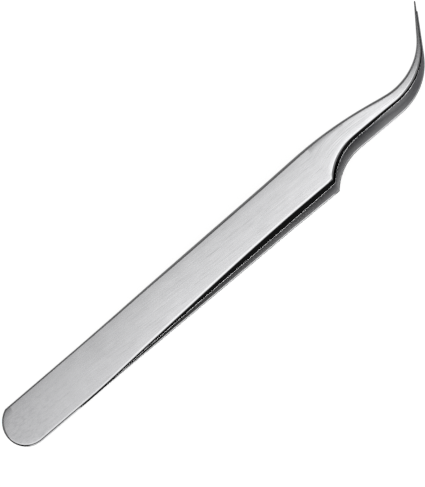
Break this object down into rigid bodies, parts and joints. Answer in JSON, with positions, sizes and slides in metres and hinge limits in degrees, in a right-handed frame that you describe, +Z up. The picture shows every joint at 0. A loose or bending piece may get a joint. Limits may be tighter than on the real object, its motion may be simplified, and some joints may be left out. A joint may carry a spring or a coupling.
{
  "type": "curved watchmaker tweezers",
  "caption": "Steel tweezers with spring arms welded at the heel, a wide flat grip and a narrow neck that curves to fine points.",
  "frame": {"origin": "middle of the bounding box, on the surface that the tweezers lie on", "axes": "+X from the welded heel towards the points, +Y to the side that the points curve to, +Z up, from the lower arm to the upper arm"},
  "size_m": [0.115, 0.0178, 0.0125],
  "materials": {
    "steel": "satin, fine brushing along the arms"
  },
  "bodies": {
    "root": {"upper_arm": "steel", "lower_arm": "steel"}
  },
  "joints": []
}
